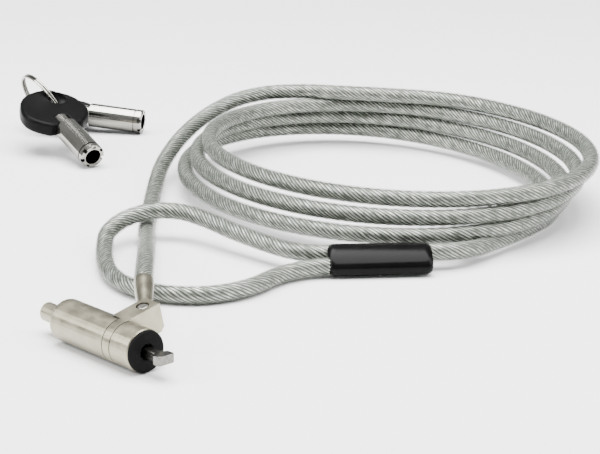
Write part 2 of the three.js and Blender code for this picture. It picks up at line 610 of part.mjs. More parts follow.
function bowGeometry() {
  const settings = {
    depth: BOW_THICKNESS - 2 * BOW_EDGE, bevelEnabled: true, bevelThickness: BOW_EDGE, bevelSize: BOW_EDGE,
    bevelSegments: BOW_BEVEL_STEPS, curveSegments: 6,
  };
  const body = new THREE.ExtrudeGeometry(bowShape(), settings);
  body.translate(0, 0, -BOW_THICKNESS / 2 + BOW_EDGE);
  const socket = bar(-KEY_TUBE_TAIL - GAP, NOTCH_OVERCUT, KEY_TUBE_DIAMETER - 2 * KEY_TAIL_STEP, 24);
  const holeSpacing = (BOW_HOLE_LENGTH - BOW_HOLE_WIDTH) / 2;
  const hole = plate(stadiumShape(holeSpacing, BOW_HOLE_WIDTH / 2), -BOW_THICKNESS, BOW_THICKNESS);
  hole.translate(-BOW_HOLE_DISTANCE, BOW_HOLE_OFFSET, 0);
  return subtract(body, socket, hole);
}

function keyTubeGeometry() {
  const r = KEY_TUBE_DIAMETER / 2;
  const tail = r - KEY_TAIL_STEP - GAP;
  const bore = KEY_TUBE_BORE / 2;
  const tip = KEY_TUBE_LENGTH;
  const groove = tip - KEY_GROOVE_DISTANCE;
  const low = r - KEY_GROOVE_DEPTH;
  const profile = [
    [-KEY_TUBE_TAIL, 0], [-KEY_TUBE_TAIL, tail], [GAP, tail], [GAP, r], [groove - KEY_GROOVE_WIDTH, r],
    [groove - KEY_GROOVE_WIDTH, low], [groove, low], [groove, r], [tip - KEY_EDGE, r], [tip, r - KEY_EDGE],
    [tip, bore], [tip - KEY_BORE_DEPTH, bore], [tip - KEY_BORE_DEPTH, 0],
  ];
  const cuts = [];
  for (let i = 0; i < PIN_COUNT; i += 1) {
    const cut = box(2 * KEY_CUT_DEPTHS[i], KEY_CUT_WIDTH, 2, tip, 0, r - KEY_CLEARANCE);
    cuts.push(cut.rotateX(pinAngle(i)));
  }
  return subtract(turned(profile), ...cuts);
}

// A key's pose is the place of its ring hole, its turns about Z, Y and X, and a flip onto its other face
function addKey(parent, name, { hole, turn, rise, roll, flip }) {
  const group = new THREE.Group();
  group.rotation.set(radians(roll + (flip ? 180 : 0)), radians(rise), radians(turn), 'ZYX');
  const offset = new THREE.Vector3(BOW_HOLE_DISTANCE, -BOW_HOLE_OFFSET, 0).applyEuler(group.rotation);
  group.position.set(...hole).add(offset);
  parent.add(group);
  piece(group, `${name}_bow`, bowGeometry(), BLACK_PLASTIC);
  piece(group, `${name}_tube`, keyTubeGeometry(), POLISHED);
}

function addKeys(parent) {
  addKey(parent, 'back_key', BACK_KEY);
  addKey(parent, 'front_key', FRONT_KEY);
  const geometry = new THREE.TorusGeometry((RING_DIAMETER - RING_WIRE) / 2, RING_WIRE / 2, 8, 40);
  geometry.scale(1, 1, RING_WIDTH / RING_WIRE);
  const mesh = piece(parent, 'split_ring', geometry, POLISHED);
  mesh.rotation.set(radians(RING_LEAN), 0, radians(RING_TURN), 'ZYX');
  mesh.position.set(...RING_CENTRE);
}

// ---------------------------------------------------------------- assembly

function addLock(parent) {
  const lock = new THREE.Group();
  lock.position.z = BODY_RADIUS;
  parent.add(lock);
  for (const add of [addBarrel, addNose, addBumper, addPlug, addHousing, addTBar, addDrive]) {
    add(lock);
  }
  const lug = new THREE.Group();
  lug.rotation.x = radians(LUG_TILT);
  lock.add(lug);
  addLug(lug);
  addRivet(lug);
  addFerrule(lug);
}

function addCable(parent) {
  addCableTube(parent, 'cable_lead', LEAD_POINTS);
  addCableTube(parent, 'cable_link', LINK_POINTS);
  addCableTube(parent, 'cable_eye', EYE_POINTS);
  addCoil(parent);
  addSleeve(parent);
}

// The origin is on the floor under the middle of the lock and its keys, without the cable
const CABLE_NODES = ['cable_lead', 'cable_link', 'cable_eye', 'cable_coil', 'crimp_sleeve', 'crimp_block'];

function setOrigin(group) {
  group.updateMatrixWorld(true);
  const bounds = new THREE.Box3();
  group.traverse((object) => {
    if (object.isMesh && !CABLE_NODES.includes(object.name)) {
      bounds.union(new THREE.Box3().setFromObject(object, true));
    }
  });
  const centre = bounds.getCenter(new THREE.Vector3());
  group.position.set(-centre.x, -centre.y, -bounds.min.z);
}

const cableLock = new THREE.Group();
addLock(cableLock);
addCable(cableLock);
addKeys(cableLock);
setOrigin(cableLock);

export default cableLock;
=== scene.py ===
"""Laptop cable lock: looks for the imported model, with its cable, crimp sleeve, end fitting and split
ring as detailed pieces. Everything is in metres, in the model's own frame."""

import json
import math

import bpy
from mathutils import Matrix, Vector


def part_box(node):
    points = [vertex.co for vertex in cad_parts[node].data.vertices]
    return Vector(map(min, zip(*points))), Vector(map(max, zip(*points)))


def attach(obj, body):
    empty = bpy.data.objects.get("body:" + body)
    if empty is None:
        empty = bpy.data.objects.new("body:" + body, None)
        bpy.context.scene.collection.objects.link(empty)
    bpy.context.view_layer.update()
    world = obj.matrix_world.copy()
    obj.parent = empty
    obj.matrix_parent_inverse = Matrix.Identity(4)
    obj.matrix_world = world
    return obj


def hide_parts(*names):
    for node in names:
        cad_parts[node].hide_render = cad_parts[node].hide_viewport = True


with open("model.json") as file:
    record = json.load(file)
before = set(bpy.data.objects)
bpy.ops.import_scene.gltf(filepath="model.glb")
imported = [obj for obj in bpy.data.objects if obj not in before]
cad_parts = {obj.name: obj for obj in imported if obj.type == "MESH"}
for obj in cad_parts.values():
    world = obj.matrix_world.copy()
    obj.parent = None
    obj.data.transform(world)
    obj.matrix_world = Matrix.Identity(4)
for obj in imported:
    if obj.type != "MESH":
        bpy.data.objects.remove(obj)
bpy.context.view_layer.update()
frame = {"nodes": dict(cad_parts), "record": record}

MM = 0.001


def middle(low, high):
    return (low + high) / 2


# ------------------------------------------------------------------ places, from the frame

PAD_LOW, PAD_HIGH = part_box("bumper_pad")
NOSE = Vector((PAD_HIGH[0], middle(PAD_LOW[1], PAD_HIGH[1]), 0.0))  # lock's nose, on the floor


def from_nose(x, y, z):
    """A point given in millimetres from the lock's nose, its height from the floor."""
    return NOSE + Vector((x, y, z)) * MM


# ------------------------------------------------------------------ camera

CAMERA_PLACE = (463.3, -365.6, 223.7)
CAMERA_HEADING = math.radians(42.5)  # from -X round to +Y
CAMERA_DROP = math.radians(17)
LENS = 132  # on a 36 mm sensor


def add_camera():
    data = bpy.data.cameras.new("camera")
    data.sensor_width = 36
    data.lens = LENS
    data.clip_end = 20
    camera = bpy.data.objects.new("camera", data)
    camera.location = from_nose(*CAMERA_PLACE)
    level = Vector((-math.cos(CAMERA_HEADING), math.sin(CAMERA_HEADING), 0))
    ahead = level * math.cos(CAMERA_DROP) - Vector((0, 0, math.sin(CAMERA_DROP)))
    camera.rotation_euler = ahead.to_track_quat("-Z", "Y").to_euler()
    bpy.context.collection.objects.link(camera)
    bpy.context.scene.camera = camera


add_camera()

# ------------------------------------------------------------------ mesh helpers


def add_mesh(name, vertices, faces, material, smooth=True):
    data = bpy.data.meshes.new(name)
    data.from_pydata([tuple(v) for v in vertices], [], faces)
    data.validate()
    if smooth:
        data.shade_smooth()
    else:
        data.shade_flat()
    data.materials.append(material)
    item = bpy.data.objects.new(name, data)
    bpy.context.collection.objects.link(item)
    return item


def smooth_line(points, step):
    """Points a step apart along a centripetal curve through the given ones."""
    ends = [points[0] * 2 - points[1], *points, points[-1] * 2 - points[-2]]
    line = []
    for a, b, c, d in zip(ends, ends[1:], ends[2:], ends[3:]):
        ta, tb, tc = [math.sqrt((q - p).length) for p, q in ((a, b), (b, c), (c, d))]
        slope_b = ((b - a) / ta - (c - a) / (ta + tb) + (c - b) / tb) * tb
        slope_c = ((c - b) / tb - (d - b) / (tb + tc) + (d - c) / tc) * tb
        count = max(2, round((c - b).length / (step / 4)))
        for i in range(count):
            t = i / count
            line.append(
                b * (2 * t**3 - 3 * t**2 + 1)
                + slope_b * (t**3 - 2 * t**2 + t)
                + c * (3 * t**2 - 2 * t**3)
                + slope_c * (t**3 - t**2)
            )
    line.append(points[-1])
    return evenly(line, step)


def evenly(line, step):
    """The same line with its points the same distance apart."""
    total = sum((q - p).length for p, q in zip(line, line[1:]))
    gap = total / round(total / step)
    out, left = [line[0]], gap
    for p, q in zip(line, line[1:]):
        length = (q - p).length
        while length > left:
            p = p + (q - p) * (left / length)
            out.append(p)
            length = (q - p).length
            left = gap
        left -= length
    if (out[-1] - line[-1]).length > gap / 2:
        out.append(line[-1])
    return out


def frames_along(line):
    """(place, side, up) at each point of a line, without twist."""
    ahead = (line[1] - line[0]).normalized()
    side = ahead.orthogonal().normalized()
    frames = []
    for i, place in enumerate(line):
        after = line[min(i + 1, len(line) - 1)] - line[max(i - 1, 0)]
        ahead = after.normalized()
        side = (side - ahead * side.dot(ahead)).normalized()
        frames.append((place, side, ahead.cross(side)))
    return frames


def tube_faces(rings, sides):
    """The faces of a closed tube, ring after ring, and of its two ends."""
    faces = []
    for i in range(rings - 1):
        for j in range(sides):
            k = (j + 1) % sides
            faces.append((i * sides + j, i * sides + k, (i + 1) * sides + k, (i + 1) * sides + j))
    faces.append(tuple(reversed(range(sides))))
    faces.append(tuple(range((rings - 1) * sides, rings * sides)))
    return faces


def add_tube(name, line, section, material):
    """A closed tube along a line. section(i) gives ring i's outline as (side, up) pairs."""
    vertices = []
    for i, (place, side, up) in enumerate(frames_along(line)):
        vertices += [place + side * a + up * b for a, b in section(i)]
    return add_mesh(name, vertices, tube_faces(len(line), len(section(0))), material)


WRAP = "round and along"


def wrap_lengthwise(item, sides, step):
    """A UV map with one unit round the tube and one for each metre along it."""
    layer = item.data.uv_layers.new(name=WRAP)
    spots = []
    for face in item.data.polygons:
        row, column = divmod(face.index, sides)
        if len(face.vertices) > 4:
            spots += [(0.0, 0.0)] * len(face.vertices)
            continue
        left, right = column / sides, (column + 1) / sides
        low, high = row * step, (row + 1) * step
        spots += [(left, low), (right, low), (right, high), (left, high)]
    layer.uv.foreach_set("vector", [value for spot in spots for value in spot])


def round_section(radius, sides):
    turns = [2 * math.pi * i / sides for i in range(sides)]
    outline = [(radius * math.cos(a), radius * math.sin(a)) for a in turns]
    return lambda i: outline


# ------------------------------------------------------------------ cable sizes

CABLE = 6 * MM
ROPE_WIDTH = 5.5 * MM  # as wide as the rope looks through its coat, not its real 4.4 mm
STRANDS = 7
WIRES = 14  # that show round the rope, two to a strand
WIRE_SIDES = 4  # of the outline, to each wire
STRAND_LAY = 25 * MM  # length of one whole turn of a strand
STRAND_VALLEY = 0.04  # depth between two strands, of the rope's radius
WIRE_VALLEY = 0.09  # the same between two wires
GLINTS_PER_METRE = 300.0
RING_STEP = 1.25 * MM  # from one outline to the next
COAT_SIDES = 20

# ------------------------------------------------------------------ material helpers


MIX_FACTOR, MIX_FIRST, MIX_SECOND = 0, 6, 7  # a mix node's inputs, when it mixes colours
MIX_COLOR = 2  # and its output


class Nodes:
    """Short calls for a node tree."""

    def __init__(self, tree):
        self.tree = tree

    def add(self, kind, settings=None, **inputs):
        node = self.tree.nodes.new(kind)
        for name, value in (settings or {}).items():
            setattr(node, name, value)
        for name, value in inputs.items():
            self.feed(node, name.replace("_", " "), value)
        return node

    def feed(self, node, name, value):
        socket = node.inputs[name]
        if isinstance(value, bpy.types.NodeSocket):
            self.tree.links.new(value, socket)
        else:
            socket.default_value = value

    def math(self, operation, *values):
        node = self.add("ShaderNodeMath", {"operation": operation})
        for place, value in enumerate(values):
            self.feed(node, place, value)
        return node.outputs[0]

    def scaled(self, vector, factors):
        node = self.add("ShaderNodeVectorMath", {"operation": "MULTIPLY"})
        self.feed(node, 0, vector)
        self.feed(node, 1, factors)
        return node.outputs[0]

    def mixed(self, factor, first, second):
        node = self.add("ShaderNodeMix", {"data_type": "RGBA"})
        self.feed(node, MIX_FACTOR, factor)
        self.feed(node, MIX_FIRST, first)
        self.feed(node, MIX_SECOND, second)
        return node.outputs[MIX_COLOR]


def new_group(name, inputs, outputs):
    tree = bpy.data.node_groups.new(name, "ShaderNodeTree")
    for label, kind, value in inputs:
        socket = tree.interface.new_socket(label, in_out="INPUT", socket_type=kind)
        socket.default_value = value
    for label, kind in outputs:
        tree.interface.new_socket(label, in_out="OUTPUT", socket_type=kind)
    nodes = Nodes(tree)
    return nodes, nodes.add("NodeGroupInput"), nodes.add("NodeGroupOutput")


FLOAT, COLOR, VECTOR = "NodeSocketFloat", "NodeSocketColor", "NodeSocketVector"


# Near-black painted shade, mixed into the colour wherever ambient occlusion finds a recess
PAINTED_RECESS_SHADE = (0.004, 0.004, 0.004, 1)
MARK_HEIGHT = 0.03 * MM


def wear_and_painted_shade():
    """Slow stains, fine marks and painted shade in the recesses: a tinted colour, a roughness and a normal.
    """
    inputs = [
        ("Base", COLOR, (0.5, 0.5, 0.5, 1)),
        ("Worn", COLOR, (0.7, 0.7, 0.7, 1)),
        ("Roughness", FLOAT, 0.3),
        ("Spread", FLOAT, 0.1),
        ("Stain Scale", FLOAT, 90.0),
        ("Mark Scale", FLOAT, 2500.0),
        ("Mark Depth", FLOAT, 0.1),
        ("Mark Stretch", VECTOR, (1.0, 1.0, 1.0)),
        ("Recess Shade", FLOAT, 0.6),
        ("Recess Reach", FLOAT, 0.0015),
    ]
    nodes, given, result = new_group(
        "wear and painted shade", inputs, [("Color", COLOR), ("Roughness", FLOAT), ("Normal", VECTOR)]
    )
    place = nodes.add("ShaderNodeTexCoord").outputs["Object"]
    stain = nodes.add("ShaderNodeTexNoise", Vector=place, Detail=4.0, Scale=given.outputs["Stain Scale"])
    stretched = nodes.scaled(place, given.outputs["Mark Stretch"])
    marks = nodes.add("ShaderNodeTexNoise", Vector=stretched, Detail=2.0, Scale=given.outputs["Mark Scale"])
    tint = nodes.mixed(stain.outputs["Fac"], given.outputs["Base"], given.outputs["Worn"])
    reach = given.outputs["Recess Reach"]
    # Painted shade: ambient occlusion darkens the colour towards near black in recesses
    openness = nodes.add("ShaderNodeAmbientOcclusion", {"samples": 6}, Distance=reach)
    depth = nodes.math("SUBTRACT", 1.0, openness.outputs["AO"])
    shade = nodes.math("MULTIPLY", depth, given.outputs["Recess Shade"])
    centred = nodes.math("SUBTRACT", stain.outputs["Fac"], 0.5)
    rough = nodes.math("MULTIPLY_ADD", centred, given.outputs["Spread"], given.outputs["Roughness"])
    bump = nodes.add("ShaderNodeBump", Distance=MARK_HEIGHT, Height=marks.outputs["Fac"])
    nodes.feed(bump, "Strength", given.outputs["Mark Depth"])
    nodes.feed(result, "Color", nodes.mixed(shade, tint, PAINTED_RECESS_SHADE))
    nodes.feed(result, "Roughness", rough)
    nodes.feed(result, "Normal", bump.outputs["Normal"])
    return nodes.tree


WEAR_AND_PAINTED_SHADE = wear_and_painted_shade()


def surface(name, base, worn, roughness, metallic=0.0, gloss=0.5, **wear_and_shade_settings):
    """A material whose colour, roughness and marks come from the group of wear and painted recess shade."""
    material = bpy.data.materials.new(name)
    material.use_nodes = True
    shader = material.node_tree.nodes["Principled BSDF"]
    nodes = Nodes(material.node_tree)
    wear_and_shade_node = nodes.add("ShaderNodeGroup", {"node_tree": WEAR_AND_PAINTED_SHADE})
    nodes.feed(wear_and_shade_node, "Base", (*base, 1))
    nodes.feed(wear_and_shade_node, "Worn", (*worn, 1))
    nodes.feed(wear_and_shade_node, "Roughness", roughness)
    for label, value in wear_and_shade_settings.items():
        nodes.feed(wear_and_shade_node, label.replace("_", " "), value)
    nodes.feed(shader, "Base Color", wear_and_shade_node.outputs["Color"])
    nodes.feed(shader, "Roughness", wear_and_shade_node.outputs["Roughness"])
    nodes.feed(shader, "Normal", wear_and_shade_node.outputs["Normal"])
    nodes.feed(shader, "Metallic", metallic)
    nodes.feed(shader, "Specular IOR Level", gloss)
    return material


TURNED = (1.0, 0.03, 0.03)  # marks run round the lock's axis
SATIN = surface(
    "satin nickel",
    base=(0.22, 0.20, 0.14),
    worn=(0.42, 0.39, 0.30),
    roughness=0.34,
    metallic=1.0,
    Spread=0.25,
    Stain_Scale=240.0,
    Mark_Scale=1500.0,
    Mark_Depth=1.0,
    Mark_Stretch=TURNED,
    Recess_Shade=0.95,
)
BRIGHT = surface(
    "bright nickel",
    base=(0.36, 0.35, 0.31),
    worn=(0.54, 0.525, 0.48),
    roughness=0.15,
    metallic=1.0,
    # painted shade in recesses, reaching deep into the key tubes' bores
    Recess_Shade=0.98,
    Recess_Reach=0.02,
)
RIVET_STEEL = surface(
    "rivet steel",
    base=(0.36, 0.345, 0.30),
    worn=(0.5, 0.48, 0.43),
    roughness=0.26,
    metallic=1.0,
    Recess_Shade=0.1,
)
STEEL = surface(
    "dark steel",
    base=(0.05, 0.048, 0.043),
    worn=(0.28, 0.27, 0.25),
    roughness=0.24,
    metallic=1.0,
    Stain_Scale=900.0,
)
BRASS = surface(
    "turned brass", base=(0.55, 0.40, 0.16), worn=(0.66, 0.50, 0.24), roughness=0.3, metallic=1.0
)
ALUMINIUM = surface(
    "pressed aluminium", base=(0.6, 0.61, 0.62), worn=(0.7, 0.71, 0.72), roughness=0.4, metallic=1.0
)
RUBBER = surface(
    "black rubber",
    base=(0.003, 0.003, 0.003),
    worn=(0.009, 0.009, 0.009),
    roughness=0.6,
    gloss=0.03,
    Mark_Depth=0.5,
)
BOW_PLASTIC = surface(
    "black bow plastic",
    base=(0.002, 0.002, 0.002),
    worn=(0.005, 0.005, 0.005),
    roughness=0.34,
    gloss=0.045,
    Mark_Depth=0.5,
)
SLEEVE_PLASTIC = surface(
    "black sleeve plastic",
    base=(0.001, 0.001, 0.001),
    worn=(0.004, 0.004, 0.004),
    roughness=0.2,
    gloss=0.06,
)

# Steps of the wires' colour ramp, from painted shade in a groove to a painted highlight on a crown that
# glints
GROOVE_PAINTED_SHADE = (0.10, (0.055, 0.062, 0.052, 1))
FLANK = (0.36, (0.12, 0.13, 0.11, 1))
CROWN_PAINTED_HIGHLIGHT = (0.68, (0.60, 0.62, 0.57, 1))


def rope_wire():
    """Wires with a painted highlight on their crowns and painted shade in the grooves, with painted glints
    broken along them.
    """
    material = bpy.data.materials.new("twisted rope wire")
    material.use_nodes = True
    shader = material.node_tree.nodes["Principled BSDF"]
    nodes = Nodes(material.node_tree)
    place = nodes.add("ShaderNodeUVMap", {"uv_map": WRAP}).outputs["UV"]
    split = nodes.add("ShaderNodeSeparateXYZ", Vector=place)
    turn = nodes.math("MULTIPLY", split.outputs["X"], math.pi * WIRES)
    height = nodes.math("ABSOLUTE", nodes.math("COSINE", turn))
    # painted glints: noise that breaks up the painted highlight along each crown
    spread = nodes.scaled(place, (WIRES, GLINTS_PER_METRE, 1.0))
    glints = nodes.add("ShaderNodeTexNoise", Vector=spread, Scale=1.0, Detail=2.0)
    lit = nodes.math("MULTIPLY", height, glints.outputs["Fac"])
    ramp = nodes.add("ShaderNodeValToRGB", Fac=lit)
    stops = ramp.color_ramp.elements
    stops[0].position, stops[0].color = GROOVE_PAINTED_SHADE
    stops[1].position, stops[1].color = CROWN_PAINTED_HIGHLIGHT
    place_on_flank, flank_color = FLANK
    stops.new(place_on_flank).color = flank_color
    nodes.feed(shader, "Base Color", ramp.outputs["Color"])
    nodes.feed(shader, "Metallic", 0.65)
    nodes.feed(shader, "Roughness", 0.36)
    return material


COAT_CLEAREST, COAT_DENSEST = 0.04, 0.5  # alpha, facing the wall and along it


def clear_coat():
    """Clear plastic with a slightly green cast, denser where it is seen along its wall."""
    material = bpy.data.materials.new("clear cable coat")
    material.use_nodes = True
    shader = material.node_tree.nodes["Principled BSDF"]
    nodes = Nodes(material.node_tree)
    facing = nodes.add("ShaderNodeLayerWeight", Blend=0.35)
    wall = nodes.add("ShaderNodeMapRange", From_Min=0.15, From_Max=0.95, Value=facing.outputs["Facing"])
    nodes.feed(wall, "To Min", COAT_CLEAREST)
    nodes.feed(wall, "To Max", COAT_DENSEST)
    nodes.feed(shader, "Alpha", wall.outputs[0])
    nodes.feed(shader, "Base Color", (0.15, 0.165, 0.14, 1))
    nodes.feed(shader, "Roughness", 0.24)
    nodes.feed(shader, "Specular IOR Level", 0.12)
    return material


COAT = clear_coat()

# ------------------------------------------------------------------ cable

# The route where it is not coiled, the same points as the model's own
LEAD_POINTS = [
    (-33.2, 25.4, 14), (-38, 29.4, 14.4), (-45.9, 36, 13.8), (-54.8, 43.4, 12.2), (-65.9, 52.4, 9.6),
    (-76.8, 61.2, 6.8), (-89, 71.1, 4.3), (-99.6, 79.3, 3.2), (-109.9, 88.2, 3.1), (-120.6, 97.8, 3.1),
    (-131.7, 108, 3.6), (-141, 117.1, 5), (-149.1, 125.9, 7),
]
CLIMB_POINTS = [
    (-155.9, 135.5, 9.6), (-161.3, 145.9, 12.8), (-165.8, 158.1, 16), (-167.6, 169.4, 18.8),
    (-167.8, 181, 20.8), (-165.1, 192.8, 21.7), (-157.8, 203, 22), (-147.8, 211.6, 22),
]
LINK_POINTS = [
    (-7.5, 148.7, 4.9), (-7, 138.8, 5.6), (-8, 135.2, 5.8), (-9.8, 131.6, 6), (-12.1, 128.5, 6.1),
]
EYE_POINTS = [
    (-29.4, 97.4, 3.7), (-31.3, 94.6, 3.6), (-32.9, 90.9, 3.4), (-34.2, 83.1, 3.1), (-33.6, 77.2, 3.1),
    (-31.9, 69.4, 3.1), (-31.8, 61.2, 3.1), (-35.2, 51.4, 3.1), (-43.6, 43.2, 3.1), (-56, 39.2, 3.1),
    (-70, 41.8, 3.1), (-82, 48.2, 3.2), (-93, 56.3, 4.2), (-100, 63.4, 6.3), (-102.5, 72.8, 8.5),
    (-100, 82.1, 9.9), (-93.3, 88.7, 9.9), (-83.8, 91.4, 9), (-69, 92.2, 7.6), (-57.2, 93.1, 6.8),
    (-47.3, 94, 6.4), (-43.4, 94.9, 6.3), (-39.7, 96.4, 6.2), (-36.4, 98.7, 6.1), (-34.3, 100.8, 6.1),
]
DEAD_END = [(-12.5, 118.7, 3.7), (-21, 108, 3.7)]  # inside the crimp sleeve

# The coil, an oval spring in millimetres, along its long way and away across it
COIL_TURNS = (3.45, 0.2)  # from the top of the coil down to its foot
COIL_STEPS = 18  # points for each turn
COIL_START = -90  # degrees round the oval
COIL_HEADING = (0.676, 0.737)  # cosine and sine of 47.5 degrees
COIL_ALONG, COIL_AWAY, COIL_FOOT = 64.5, 181, 3.1  # its middle and height at the foot
COIL_HALF_ALONG, COIL_HALF_AWAY = 67, 78
COIL_SKEW = 16
COIL_CREEP, COIL_SHRINK, COIL_RISE = 4.5, 3, 5.4  # along, away and up, for each turn


def coil_point(turn):
    """A spring that leans back and creeps along as it rises, so its strands show one over another."""
    angle = math.radians(360 * turn + COIL_START)
    along = COIL_ALONG + COIL_CREEP * turn + COIL_HALF_ALONG * math.cos(angle)
    half_away = COIL_HALF_AWAY - COIL_SHRINK * turn
    away = COIL_AWAY + half_away * math.sin(angle) - COIL_SKEW * math.cos(angle)
    cosine, sine = COIL_HEADING
    return cosine * along - sine * away, sine * along + cosine * away, COIL_FOOT + COIL_RISE * turn


def coil_points():
    top, foot = COIL_TURNS
    count = round((top - foot) * COIL_STEPS)
    return [coil_point(top + (foot - top) * i / count) for i in range(count + 1)]


def cable_line():
    route = LEAD_POINTS + CLIMB_POINTS + coil_points() + LINK_POINTS
    route += list(reversed(EYE_POINTS)) + list(reversed(DEAD_END))
    return smooth_line([from_nose(*point) for point in route], RING_STEP)


def rope_section(i):
    """Wires in strands round a core, turned a little further at each ring."""
    sides = WIRES * WIRE_SIDES
    twist = 2 * math.pi * i * RING_STEP / STRAND_LAY
    outline = []
    for j in range(sides):
        angle = 2 * math.pi * j / sides
        strand = STRAND_VALLEY * (1 - abs(math.cos(STRANDS * angle / 2)))
        wire = WIRE_VALLEY * (1 - abs(math.cos(WIRES * angle / 2)))
        radius = ROPE_WIDTH / 2 * (1 - strand - wire)
        outline.append((radius * math.cos(angle + twist), radius * math.sin(angle + twist)))
    return outline


line = cable_line()
coat = add_tube("cable_coat", line, round_section(CABLE / 2, COAT_SIDES), COAT)
rope = add_tube("cable_rope", line, rope_section, rope_wire())
wrap_lengthwise(rope, WIRES * WIRE_SIDES, RING_STEP)
for piece in (coat, rope):
    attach(piece, "cable")
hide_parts("cable_lead", "cable_link", "cable_eye", "cable_coil")

# ------------------------------------------------------------------ crimp sleeve

sleeve_low, sleeve_high = [Vector(corner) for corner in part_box("crimp_sleeve")]
SLEEVE_MIDDLE = (sleeve_low + sleeve_high) / 2
SLEEVE_LENGTH = 34 * MM
SLEEVE_RADIUS = 3.6 * MM
SLEEVE_END = 2.6 * MM  # length of its rounded ends
SLEEVE_LIP = 0.72  # the ends' size, of the sleeve's
SLEEVE_FULLNESS = 0.9  # 1 is an ellipse, and less is fuller
SLEEVE_SIDES = 40
ROUNDING_STEPS = 8
STRAND_SPACING = 6.3 * MM
SLEEVE_HEADING = math.radians(51.5)  # from +X
SLEEVE_ROLL = math.radians(22)  # about its own length
SLEEVE_POSE = Matrix.Rotation(SLEEVE_HEADING, 3, "Z") @ Matrix.Rotation(SLEEVE_ROLL, 3, "X")


def fuller(share):
    """Pushes a circle's coordinate outwards, so that an oval closes round two strands."""
    return math.copysign(abs(share) ** SLEEVE_FULLNESS, share)


def sleeve_stations():
    """(place along the sleeve, size there), from one rounded end to the other."""
    near = []
    for i in range(ROUNDING_STEPS + 1):
        a = math.pi / 2 * i / ROUNDING_STEPS
        place = -SLEEVE_LENGTH / 2 + SLEEVE_END * (1 - math.sin(a))
        near.append((place, SLEEVE_LIP + (1 - SLEEVE_LIP) * math.cos(a)))
    near.sort()
    return near + [(-place, size) for place, size in reversed(near)]


def add_sleeve():
    """An oval tube, fuller than an ellipse, whose ends round over towards the cable."""
    stations = sleeve_stations()
    vertices = []
    for place, size in stations:
        for j in range(SLEEVE_SIDES):
            a = 2 * math.pi * j / SLEEVE_SIDES
            across = size * (SLEEVE_RADIUS + STRAND_SPACING / 2) * fuller(math.cos(a))
            point = Vector((place, across, size * SLEEVE_RADIUS * fuller(math.sin(a))))
            vertices.append(SLEEVE_MIDDLE + SLEEVE_POSE @ point)
    faces = tube_faces(len(stations), SLEEVE_SIDES)
    sleeve = add_mesh("sleeve_cover", vertices, faces, SLEEVE_PLASTIC)
    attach(sleeve, "cable")
    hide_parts("crimp_sleeve")
    return sleeve


sleeve = add_sleeve()

# ------------------------------------------------------------------ cable's end fitting

EYE_BORE = 2.6 * MM
EYE_WIDTH = 4.7 * MM
EYE_HEIGHT = 4.3 * MM
FITTING_SIDES = 32
STEM_PROFILE = [  # share of the way to the cable, and radius in millimetres
    (0.06, 2.3), (0.32, 2.35), (0.45, 2.5), (0.6, 2.72), (0.75, 2.95),
    (0.9, 3.08), (0.96, 3.1), (0.98, 3.06), (0.985, 3.0),
]


def add_stem(rivet, ahead, reach):
    way = [rivet + ahead * reach * share for share, radius in STEM_PROFILE]
    outlines = [round_section(radius * MM, FITTING_SIDES)(0) for share, radius in STEM_PROFILE]
    return add_tube("fitting_stem", way, lambda i: outlines[i], SATIN)


def add_eye(rivet, ahead, up):
    """A flat ring round the rivet."""
    aside = up.cross(ahead)
    corners = [(EYE_BORE, -1), (EYE_WIDTH, -1), (EYE_WIDTH, 1), (EYE_BORE, 1)]
    vertices, faces = [], []
    for j in range(FITTING_SIDES):
        a = 2 * math.pi * j / FITTING_SIDES
        out = (ahead * math.cos(a) + aside * math.sin(a)) / 2
        vertices += [rivet + out * width + up * (level * EYE_HEIGHT / 2) for width, level in corners]
    for j in range(FITTING_SIDES):
        k = (j + 1) % FITTING_SIDES
        for c in range(4):
            d = (c + 1) % 4
            faces.append((4 * j + c, 4 * k + c, 4 * k + d, 4 * j + d))
    return add_mesh("fitting_eye", vertices, faces, SATIN, smooth=False)


def add_fitting():
    """A fitting that widens smoothly from its flat eye on the rivet to the cable."""
    hinge = next(j for j in frame["record"]["behaviour"]["joints"] if j["name"] == "ferrule_hinge")
    rivet, up = Vector(hinge["pos_m"]), Vector(hinge["axis"]).normalized()
    reach = line[0] - rivet
    ahead = (reach - up * reach.dot(up)).normalized()
    stem = add_stem(rivet, ahead, reach.length)
    eye = add_eye(rivet, ahead, up)
    for piece in (stem, eye):
        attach(piece, "cable")
    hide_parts("cable_ferrule")


add_fitting()

# ------------------------------------------------------------------ split ring


RING_WIRE = 0.98 * MM
RING_PITCH = 1.04 * MM  # from one turn of the wire to the next
RING_RADIUS = 13 * MM  # to the middle of the wire
RING_SIDES = 12
RING_STEPS = 72  # for each turn
RING_SHORT = 5  # steps by which it falls short of two turns
CROSSING_START, CROSSING_SPAN = 0.9, 0.2  # in turns, where the wire steps across
RING_PLACE = from_nose(-234.9, 135.7, 14.3)
RING_HEADING = math.radians(-8.4)
RING_LEAN = math.radians(116.4)
RING_POSE = Matrix.Rotation(RING_HEADING, 3, "Z") @ Matrix.Rotation(RING_LEAN, 3, "X")


def add_split_ring():
    """Two turns of wire side by side, which step across from one to the other."""
    points = []
    for i in range(2 * RING_STEPS - RING_SHORT):
        turn = i / RING_STEPS
        angle = 2 * math.pi * turn
        crossed = min(1.0, max(0.0, (turn - CROSSING_START) / CROSSING_SPAN))
        spot = (RING_RADIUS * math.cos(angle), RING_RADIUS * math.sin(angle), (crossed - 0.5) * RING_PITCH)
        points.append(RING_PLACE + RING_POSE @ Vector(spot))
    ring = add_tube("key_ring", points, round_section(RING_WIRE / 2, RING_SIDES), BRIGHT)
    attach(ring, "ring")
    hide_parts("split_ring")


add_split_ring()

# ------------------------------------------------------------------ carried-over pieces

FINISHES = {
    "satin_nickel": SATIN,
    "polished_nickel": BRIGHT,
    "steel": STEEL,
    "brass": BRASS,
    "black_rubber": RUBBER,
    "bow_plastic": BOW_PLASTIC,
    "sleeve_plastic": SLEEVE_PLASTIC,
    "coated_cable": COAT,
    "crimp_aluminium": ALUMINIUM,
}


SHARP_ANGLE = math.radians(32)


